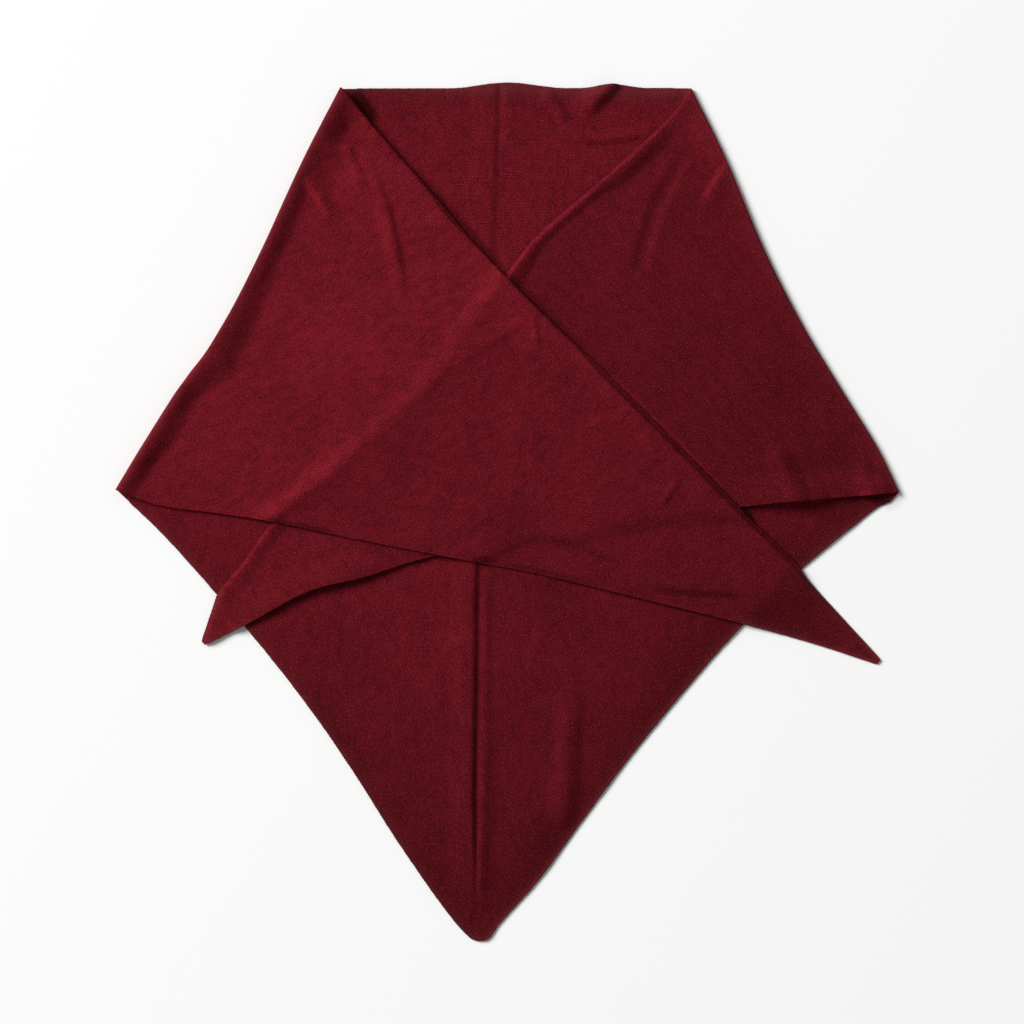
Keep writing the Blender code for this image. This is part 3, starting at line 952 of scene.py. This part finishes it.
@dataclass(frozen=True)
class Selvedge:
    """Small loops of yarn along the free edges of a sheet, joined in one mesh."""

    sheet: Sheet
    pitch: float = 0.0017
    half_sizes: Triple = (0.00120, 0.00052, 0.00068)
    proud: float = -0.00010   # how far the loops' middles stand out from the edge
    uneven: float = 1.6
    uneven_step: float = 0.61
    uneven_start: float = 90.0

    def loop_form(self) -> tuple[Array, Array]:
        """Make one loop.

        Returns:
            Its points, at half sizes of 1, and the corners of its faces.
        """
        form = bmesh.new()
        bmesh.ops.create_icosphere(form, subdivisions=1, radius=1.0)
        points = np.array([vertex.co[:] for vertex in form.verts])
        faces = np.array([[vertex.index for vertex in face.verts] for face in form.faces])
        form.free()
        return points, faces

    def along(self, edge: Array, inner: Array) -> tuple[Array, Array]:
        """Middles and directions of the loops on one edge.

        Args:
            edge: Points along the edge.
            inner: Points just inside them.

        Returns:
            The middles, and for each the directions along the edge, outwards and through.
        """
        steps = np.linalg.norm(np.diff(edge, axis=0), axis=1)
        reached = np.concatenate(([0.0], np.cumsum(steps)))
        at = np.arange(self.pitch, reached[-1] - self.pitch, self.pitch)

        def read(points: Array, where: Array) -> Array:
            """Places on a line of points, by distance along the edge."""
            return np.stack([np.interp(where, reached, points[:, axis]) for axis in range(3)], 1)

        def unit(vectors: Array) -> Array:
            """The same directions at length 1."""
            return vectors / np.linalg.norm(vectors, axis=1)[:, None]

        forward = unit(read(edge, at + self.pitch) - read(edge, at - self.pitch))
        outward = read(edge, at) - read(inner, at)
        outward = unit(outward - forward * np.sum(outward * forward, axis=1)[:, None])
        start = reached[-1] * self.uneven_start
        varied = [noise.noise(Vector((self.uneven_step * i, start, 0.0))) for i in range(len(at))]
        out = self.proud * (1.0 + self.uneven * np.array(varied))
        middles = read(edge, at) + outward * out[:, None]
        return middles, np.stack((forward, outward, np.cross(forward, outward)), axis=1)

    def build(
        self, material: bpy.types.Material, silhouette: Sequence[Outline]
    ) -> bpy.types.Object:
        """Make the loops.

        Args:
            material: The knit.
            silhouette: Outlines of all the layers.

        Returns:
            The finished piece.
        """
        edges = [self.along(edge, inner) for edge, inner in self.sheet.selvedges()]
        middles = np.concatenate([middle for middle, _ in edges])
        directions = np.concatenate([towards for _, towards in edges])
        points, faces = self.loop_form()
        places = (middles[:, None] + (points * self.half_sizes) @ directions).reshape(-1, 3)
        places[:, 2] = np.maximum(places[:, 2], 0.0)
        starts = np.arange(len(middles)) * len(points)
        corners = (faces[None] + starts[:, None, None]).reshape(-1, 3)
        name = self.sheet.name.replace("cloth", "selvedge")
        mesh = bpy.data.meshes.new(name)
        mesh.from_pydata(places.tolist(), [], corners.tolist())
        self.sheet.dress(mesh, places, silhouette, places, self.sheet.edge_tone)
        loops = finished(name, mesh, material)
        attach(loops, BODY)
        LOG.info("%s: %d loops", name, len(middles))
        return loops


@dataclass(kw_only=True)
class Back(Sheet):
    """The back, from the neckline down to the point, under both flaps."""

    outline: Outline
    # Shares of the rows and where they lie: 0 to 1 beside the folds, 1 to 2 down the hems.
    row_table: Points = ((0.0, 0.0), (0.29, 0.46), (0.36, 1.0), (1.0, 2.0))
    crowding: float = 1.15    # how much closer the columns lie near the middle
    unevenness_place: float = 1.0
    # Where the nap changes, as the place and the width of each change.
    low_nap: Pair = (0.10, 0.10)
    left_nap: Pair = (-0.05, 0.08)
    right_nap: Pair = (0.09, 0.04)

    def side(self, fold: SideFold, share: Array) -> Array:
        """Side edge of the back.

        Args:
            fold: The side fold that it runs beside.
            share: 0 to 1 beside the fold, 1 to 2 down the hem.

        Returns:
            Rows of x and y.
        """
        leans = fold.back_leans()
        beside = fold.beside(np.clip(share, 0.0, 1.0), SEAM_INSET, leans)
        covered = SEAM_INSET * math.hypot(1.0, leans[1]) / fold.back_hem.reached()[-1]
        down_hem = np.clip(share - 1.0, 0.0, 1.0)
        miss = fold.beside(np.ones(1), SEAM_INSET, leans) - fold.back_hem.at(covered)
        hem = fold.back_hem.at(covered + (1.0 - covered) * down_hem)
        hem = hem + miss * (1.0 - ease(down_hem / CORNER_PART))[:, None]
        return np.where((share <= 1.0)[:, None], beside, hem)

    def place(self, column: Array, row: Array) -> Array:
        """Places of the back's points, from the neckline to the point.

        Args:
            column: Column of each point, from the left.
            row: Row of each point, from the neckline.

        Returns:
            Rows of x, y and z.
        """
        starts = np.array(self.row_table)
        shares = np.interp(np.arange(self.rows + 1) / self.rows, starts[:, 0], starts[:, 1])
        left = self.side(LEFT_SIDE, shares)
        right = self.side(RIGHT_SIDE, shares)
        height = (left[:, 1] + right[:, 1]) / 2.0
        centre = CENTRE_FOLD.at(np.linspace(0.0, 1.0, CENTRE_STEPS))
        middle = np.stack((np.interp(-height, -centre[:, 1], centre[:, 0]), height), axis=1)
        side = 2.0 * column / self.columns - 1.0
        end = np.where((side > 0.0)[:, None], right[row], left[row])
        where = middle[row] + (end - middle[row]) * (np.abs(side) ** self.crowding)[:, None]
        fade = 1.0 - ease((NECKLINE_Y - where[:, 1]) / NECKLINE_WAVE_DEPTH)
        for x, rise, width in NECKLINE_WAVES:
            wave = 1.0 - ease(np.abs(where[:, 0] - MM * x) / (MM * width))
            where[:, 1] += MM * rise * wave * fade
        z = TABLE_LEVEL + np.maximum(0.0, unevenness(where, self.unevenness_place))
        for crease in BACK_CREASES:
            z += MM * crease.height(where)
        inside = np.maximum(0.0, -self.outline.distance_outside(where))
        z += HEM_CURL * np.exp(-inside / HEM_CURL_REACH)
        return np.column_stack((where, np.maximum(z, TABLE_LEVEL)))

    def selvedges(self) -> list[tuple[Array, Array]]:
        """Free edges of the back.

        Returns:
            The neckline and both hems, each with the points just inside it.
        """
        corner = round(self.row_table[2][0] * self.rows) + 1
        hems = self.grid[corner:]
        return [(self.grid[0], self.grid[1]), (hems[:, 0], hems[:, 1]), (hems[:, -1], hems[:, -2])]

    def cut(self, where: Array) -> Array:
        """Rows of stitches run level across the back."""
        return where[:, :2].copy()

    def grain(self, where: Array) -> Array:
        """Weights of the stitch lines: rows at the neck, and legs towards the point.

        Args:
            where: Rows of x, y and z.

        Returns:
            Rows of three weights.
        """
        low = ease((self.low_nap[0] - where[:, 1]) / self.low_nap[1])
        right = ease((where[:, 0] - self.left_nap[0]) / self.left_nap[1])
        right *= 1.0 - ease((where[:, 0] - self.right_nap[0]) / self.right_nap[1])
        return mixed(np.array(Nap.COURSES.value), Nap.RIGHT_LEGS.to(Nap.LEFT_LEGS, right), low)


@dataclass(kw_only=True)
class Flap(Sheet):
    """A flap: its side fold, and the cloth that it lays over the front."""

    fold: SideFold
    # What it lies on: the outline of each layer, how far past it it stays up, and the fall there.
    layers: tuple[tuple[Outline, float, float], ...]
    creases: tuple[Crease, ...]
    slope: Table
    rim: Table
    rim_width: Table
    rim_crest: Table
    lift: Table
    rows_angle: float
    rows_bend: float = 0.0
    courses: Nap = Nap.COURSES
    legs: Nap = Nap.RIGHT_LEGS
    low_nap: Pair = (0.19, 0.13)
    lift_width: float = 0.020
    roll_steps: int = 12
    slope_steps: int = 12
    crowding: float = 0.11    # how much closer the columns lie near both edges
    unevenness_place: float = 5.0

    def columns_across(self) -> Array:
        """Share across the flap at each column."""
        even = np.linspace(0.0, 1.0, self.columns + 1)
        return even - self.crowding * np.sin(2.0 * math.pi * even)

    def place(self, column: Array, row: Array) -> Array:
        """Places of the flap's points, from under its side fold round it to the tip.

        Args:
            column: Column of each point, from the neckline.
            row: Row of each point, from the seam under the fold.

        Returns:
            Rows of x, y and z.
        """
        across = self.columns_across()[column]
        fold = self.fold
        under = fold.back_leans()
        over = fold.flap_leans()
        hem_corner, hem_tip = fold.hem.at(np.array([0.0, 1.0]))
        length = float(np.hypot(*(hem_tip - hem_corner)))
        fold_top, fold_foot = fold.edge.at(np.array([0.0, 1.0]))
        width = float(np.hypot(*(fold_foot - fold_top)))

        # Under the fold and round it.
        turn = math.pi * (np.clip((row - 1) / self.roll_steps, 0.0, 1.0) - 0.5)
        risen = (1.0 + np.sin(turn)) / 2.0
        leans = (under[0] + (over[0] - under[0]) * risen, under[1] + (over[1] - under[1]) * risen)
        depth = FOLD_DEPTH + fold.bulge.at(across)
        inset = FOLD_INSET - depth * np.cos(turn) + np.where(row == 0, FOLD_LEAD, 0.0)
        rolled = fold.beside(across, inset, leans)
        top = fold.top(across)
        rolled_z = TABLE_LEVEL + (top - TABLE_LEVEL) * risen

        # Over the front.
        past = row - 1 - self.roll_steps
        slope = self.slope.at(across)
        sections = self.rows - 1 - self.roll_steps - self.slope_steps
        share_main = np.clip((past - self.slope_steps) / sections, 0.0, 1.0)
        from_fold = np.where(
            past <= self.slope_steps,
            slope * np.clip(past / self.slope_steps, 0.0, 1.0),
            slope + (length - slope) * share_main,
        )
        share = from_fold / length
        where = fold.neckline.at(share)
        where = where + (fold.hem.at(share) - where) * across[:, None]
        neck_corner = fold.neckline.at(0.0)
        straight = neck_corner + (hem_corner - neck_corner) * across[:, None]
        top_line = fold.beside(across, FOLD_INSET, over)
        where = where + (top_line - straight) * ((1.0 - share) ** BOW_FADE)[:, None]
        z = TABLE_LEVEL + unevenness(where, self.unevenness_place + fold.outward)
        for crease in self.creases:
            z += MM * crease.height(where)
        for outline, margin, fall in self.layers:
            z += outline.rise_over(where, margin, fall)
        section = width * (1.0 - share)
        z += self.lift.at(share) * (1.0 - ease((1.0 - across) * section / self.lift_width))
        settled = ease(from_fold / slope)
        z = top + (z - top) * settled
        z += self.rim_height(across * section, share) * settled

        z = np.maximum(z, TABLE_LEVEL)
        front = past >= 0
        z += self.held_up(column, row, where, z, front)
        where = np.where(front[:, None], where, rolled)
        return np.column_stack((where, np.where(front, z, rolled_z)))

    def held_up(
        self, column: Array, row: Array, where: Array, z: Array, front: Array
    ) -> Array:
        """How far the cloth below holds the flap up, easing off around as cloth does.

        Args:
            column: Column of each point.
            row: Row of each point.
            where: Rows of x and y.
            z: Height of each point.
            front: True for the points that lie over the front.

        Returns:
            The rise of each point.
        """
        need = np.zeros((self.rows + 1, self.columns + 1))
        down = Vector((0.0, 0.0, -1.0))
        for index in np.flatnonzero(front):
            start = Vector((where[index, 0], where[index, 1], PROBE_HEIGHT))
            for sheet in self.below:
                hit = sheet.surface.ray_cast(start, down)[0]
                if hit is not None:
                    rise = hit.z + LAYER_GAP - z[index]
                    need[row[index], column[index]] = max(need[row[index], column[index]], rise)
        risen = need.copy()
        for _ in range(SETTLE_STEPS):
            around = risen[2:, 1:-1] + risen[:-2, 1:-1] + risen[1:-1, 2:] + risen[1:-1, :-2]
            risen[1:-1, 1:-1] = np.maximum(need[1:-1, 1:-1], around / 4.0)
        return risen[row, column]

    def opened(self, column: Array, row: Array, places: Array) -> Array:
        """Places with the side fold opened out flat.

        Args:
            column: Column of each point.
            row: Row of each point.
            places: Rows of x, y and z.

        Returns:
            Rows of x, y and z.
        """
        top = self.fold.top(self.columns_across())[column]
        rolled = row <= 1 + self.roll_steps
        flat = places.copy()
        flat[:, 0] += np.where(rolled, self.fold.outward * (top - places[:, 2]), 0.0)
        return flat

    def rim_height(self, from_neckline: Array, share: Array) -> Array:
        """Height of the rolled edge, which turns down again at its very edge.

        Args:
            from_neckline: Distance in from the neckline edge.
            share: Share of the way to the tip.

        Returns:
            The height at each point.
        """
        crest = self.rim_crest.at(share)
        fall = 1.0 - ease((from_neckline - crest) / self.rim_width.at(share))
        return self.rim.at(share) * ease(from_neckline / crest) * fall

    def selvedges(self) -> list[tuple[Array, Array]]:
        """The neckline edge and the hem, with the points just inside them."""
        front = self.grid[1 + self.roll_steps:]
        return [(front[:, 0], front[:, 1]), (front[:, -1], front[:, -2])]

    def cut(self, where: Array) -> Array:
        """Places on the flat cut: rows of stitches run at the flap's own angle, and fan out.

        Args:
            where: Rows of x, y and z.

        Returns:
            Rows of u and v, in metres.
        """
        angle = math.radians(self.rows_angle)
        run = where[:, :2] @ np.array([math.cos(angle), math.sin(angle)])
        up = where[:, :2] @ np.array([-math.sin(angle), math.cos(angle)])
        return np.column_stack((run, up + self.rows_bend / 2.0 * run * run))

    def grain(self, where: Array) -> Array:
        """Weights of the stitch lines: rows near the neck, and legs lower down."""
        low = ease((self.low_nap[0] - where[:, 1]) / self.low_nap[1])
        return self.courses.to(self.legs, low)


@dataclass
class Studio:
    """Plain pale floor, soft light from the upper left, and a camera straight above."""

    floor_size: float = 8.0
    floor_tone: Colour = (0.785, 0.785, 0.785, 1.0)
    floor_roughness: float = 0.9
    floor_specular: float = 0.1
    view_width: float = 0.594
    view_centre: Pair = (0.0023, 0.0)
    lens: float = 100.0
    sensor: float = 36.0
    key_place: Triple = (-8.19, 4.72, 7.10)
    key_size: float = 6.3
    key_power: float = 2230.0
    key_tint: Triple = (1.0, 0.993, 0.985)
    ambient: float = 0.31
    ambient_tint: Colour = (0.97, 0.985, 1.0, 1.0)

    def build(self) -> None:
        """Make the floor, the light and the camera."""
        form = bmesh.new()
        bmesh.ops.create_grid(form, x_segments=1, y_segments=1, size=self.floor_size / 2.0)
        mesh = bpy.data.meshes.new("floor")
        form.to_mesh(mesh)
        form.free()
        paint = Shader("pale_floor")
        paint.feed(paint.surface, {
            "Base Color": self.floor_tone,
            "Roughness": self.floor_roughness,
            "Specular IOR Level": self.floor_specular,
        })
        finished("floor", mesh, paint.material)

        lamp = bpy.data.lights.new("key", "AREA")
        lamp.shape = "DISK"
        lamp.size = self.key_size
        lamp.energy = self.key_power
        lamp.color = self.key_tint
        key = bpy.data.objects.new("key", lamp)
        key.location = self.key_place
        key.rotation_euler = (-Vector(self.key_place)).to_track_quat("-Z", "Y").to_euler()
        bpy.context.scene.collection.objects.link(key)

        world = bpy.data.worlds.new("studio")
        world.use_nodes = True
        background = world.node_tree.nodes["Background"]
        background.inputs["Color"].default_value = self.ambient_tint
        background.inputs["Strength"].default_value = self.ambient
        bpy.context.scene.world = world
        bpy.context.scene.view_settings.view_transform = "Standard"

        eye = bpy.data.cameras.new("camera")
        eye.lens = self.lens
        eye.sensor_width = self.sensor
        camera = bpy.data.objects.new("camera", eye)
        distance = self.view_width * self.lens / self.sensor
        cloth_top = 2.0 * LAYER_STEP
        camera.location = (*self.view_centre, distance + cloth_top)
        bpy.context.scene.collection.objects.link(camera)
        bpy.context.scene.camera = camera


def main() -> None:
    """Build the scarf and its studio."""
    logging.basicConfig(level=logging.INFO, format="%(message)s")
    knit = KnitFinish().material()
    back_outline = Outline(
        (LEFT_FOLD, True), (LEFT_BACK_HEM, True), (RIGHT_BACK_HEM, False), (RIGHT_FOLD, False)
    )
    right_outline = Outline(
        (RIGHT_FOLD, True), (RIGHT_FLAP_HEM, True), (RIGHT_FLAP_NECKLINE, False)
    )
    left_outline = Outline(
        (LEFT_FOLD, True), (LEFT_FLAP_HEM, True), (LEFT_FLAP_NECKLINE, False)
    )
    back = Back(
        "back_cloth", "back", columns=160, rows=286, flat=(0.455, 0.499), area=0.13, held="laid",
        # Painted light: a paler stretch that darkens towards its border, and bands of painted shade
        # and light.
        outline=back_outline, tone=0.06, border_tone=-0.12, painted_light_bands=BACK_BANDS,
        # Painted shade: darker towards the hems, the point and the right corner.
        shades=(
    Shade((5, -30), (40, -105), -0.2),
    Shade((-55, -90), (-100, -90), -0.05),
    Shade((90, 0), (130, -10), -0.1),
    Shade((-18, -150), (-16, -225), -0.08),
        ),
    )
    right = Flap(
        "front_right_cloth", "front_right", columns=140, rows=290,
        flat=(0.43, 0.26), area=0.052, held="folded", below=(back,),
        fold=RIGHT_SIDE, layers=((back_outline, 0.0015, 0.008),), creases=RIGHT_CREASES,
        slope=Table(((0, 12), (1, 12))),
        rim=Table((
            (0, 0.3), (0.045, 0.5), (0.075, 1.8), (0.1, 2.2), (0.14, 2), (0.18, 1.4), (0.27, 1.4),
            (0.34, 2.6), (0.41, 1), (0.66, 0.8), (0.72, 2), (1, 1),
        )),
        rim_width=Table((
            (0, 9), (0.06, 10), (0.1, 12), (0.14, 10.5), (0.18, 5.4), (0.27, 5.4), (0.34, 12.5),
            (0.42, 8), (1, 8.5),
        )),
        rim_crest=Table(((0, 2.1), (1, 2.1))),
        lift=Table((
            (0, 4.6), (0.03, 4.2), (0.06, 2.4), (0.085, 3), (0.115, 6.2), (0.165, 6), (0.195, 2.8),
            (0.23, 0), (0.62, 0), (0.7, 1.4), (0.8, 3.6), (0.88, 3), (0.94, 1.2), (1, 0.4),
        )),
        rows_angle=48.0, courses=Nap.SOFT_COURSES, legs=Nap.LEFT_LEGS,
        # Painted shade and light: a darker stretch with paler loops and border along its rim and fold.
        tone=-0.09, edge_tone=0.15, border_tone=0.04, painted_light_bands=RIGHT_BANDS,
        # Painted shade towards the lower right, and painted light on the tip that shows below the left
        # flap.
        shades=(
    Shade((80, 170), (130, 90), -0.06),
    Shade((110, 105), (170, 36), -0.06),
    Shade((-60, -30), (-120, -35), 0.17),
        ),
    )
    left = Flap(
        "front_left_cloth", "front_left", columns=140, rows=290,
        flat=(0.456, 0.26), area=0.058, held="folded", below=(back, right), fold=LEFT_SIDE,
        layers=((back_outline, -0.0060, 0.030), (right_outline, 0.0010, 0.010)),
        creases=LEFT_CREASES,
        slope=Table((
            (0, 18), (0.05, 16), (0.1, 15), (0.15, 14.5), (0.2, 11.8), (0.25, 12), (0.35, 13.2),
            (0.45, 15.5), (0.55, 19), (0.65, 23.5), (0.7, 17), (0.75, 12.2), (0.85, 14.5), (0.94, 11),
            (1, 10),
        )),
        rim=Table((
            (0, 3), (0.05, 4.4), (0.12, 2), (0.17, 2), (0.21, 3), (0.26, 1.9), (0.42, 1.8),
            (0.52, 3.6), (0.8, 3.4), (0.92, 1.4), (1, 0),
        )),
        rim_width=Table(((0, 12), (1, 12))),
        rim_crest=Table((
            (0, 1), (0.15, 1.2), (0.21, 3.4), (0.26, 1.2), (0.42, 1.2), (0.5, 4.4), (0.8, 4),
            (0.9, 2.4), (1, 1.2),
        )),
        lift=Table((
            (0, 1.8), (0.07, 0.3), (0.15, 0.1), (0.2, 0.8), (0.27, 0.6), (0.32, 0.1), (0.46, 0.1),
            (0.6, 0.6), (0.85, 0.6), (1, 0),
        )),
        # Painted shade: darker loops along the edges, where their shadow lines fall, and a darker
        # border.
        rows_angle=124.3, rows_bend=-0.88, edge_tone=-0.26, border_tone=-0.08, painted_light_bands=LEFT_BANDS,
        # Painted shade towards the lower right and where the tip falls off the back, painted light at
        # its end.
        shades=(
    Shade((30, 0), (100, -30), -0.11),
    Shade((143, -44), (153, -52.5), -0.15),
    Shade((174, -74), (196, -82), 0.12),
        ),
    )
    silhouette = (back_outline, right_outline, left_outline)
    for sheet in (back, right, left):
        sheet.build(knit, silhouette)
        sheet.declare(Selvedge(sheet).build(knit, silhouette))
    Studio().build()


if __name__ == "__main__":
    main()
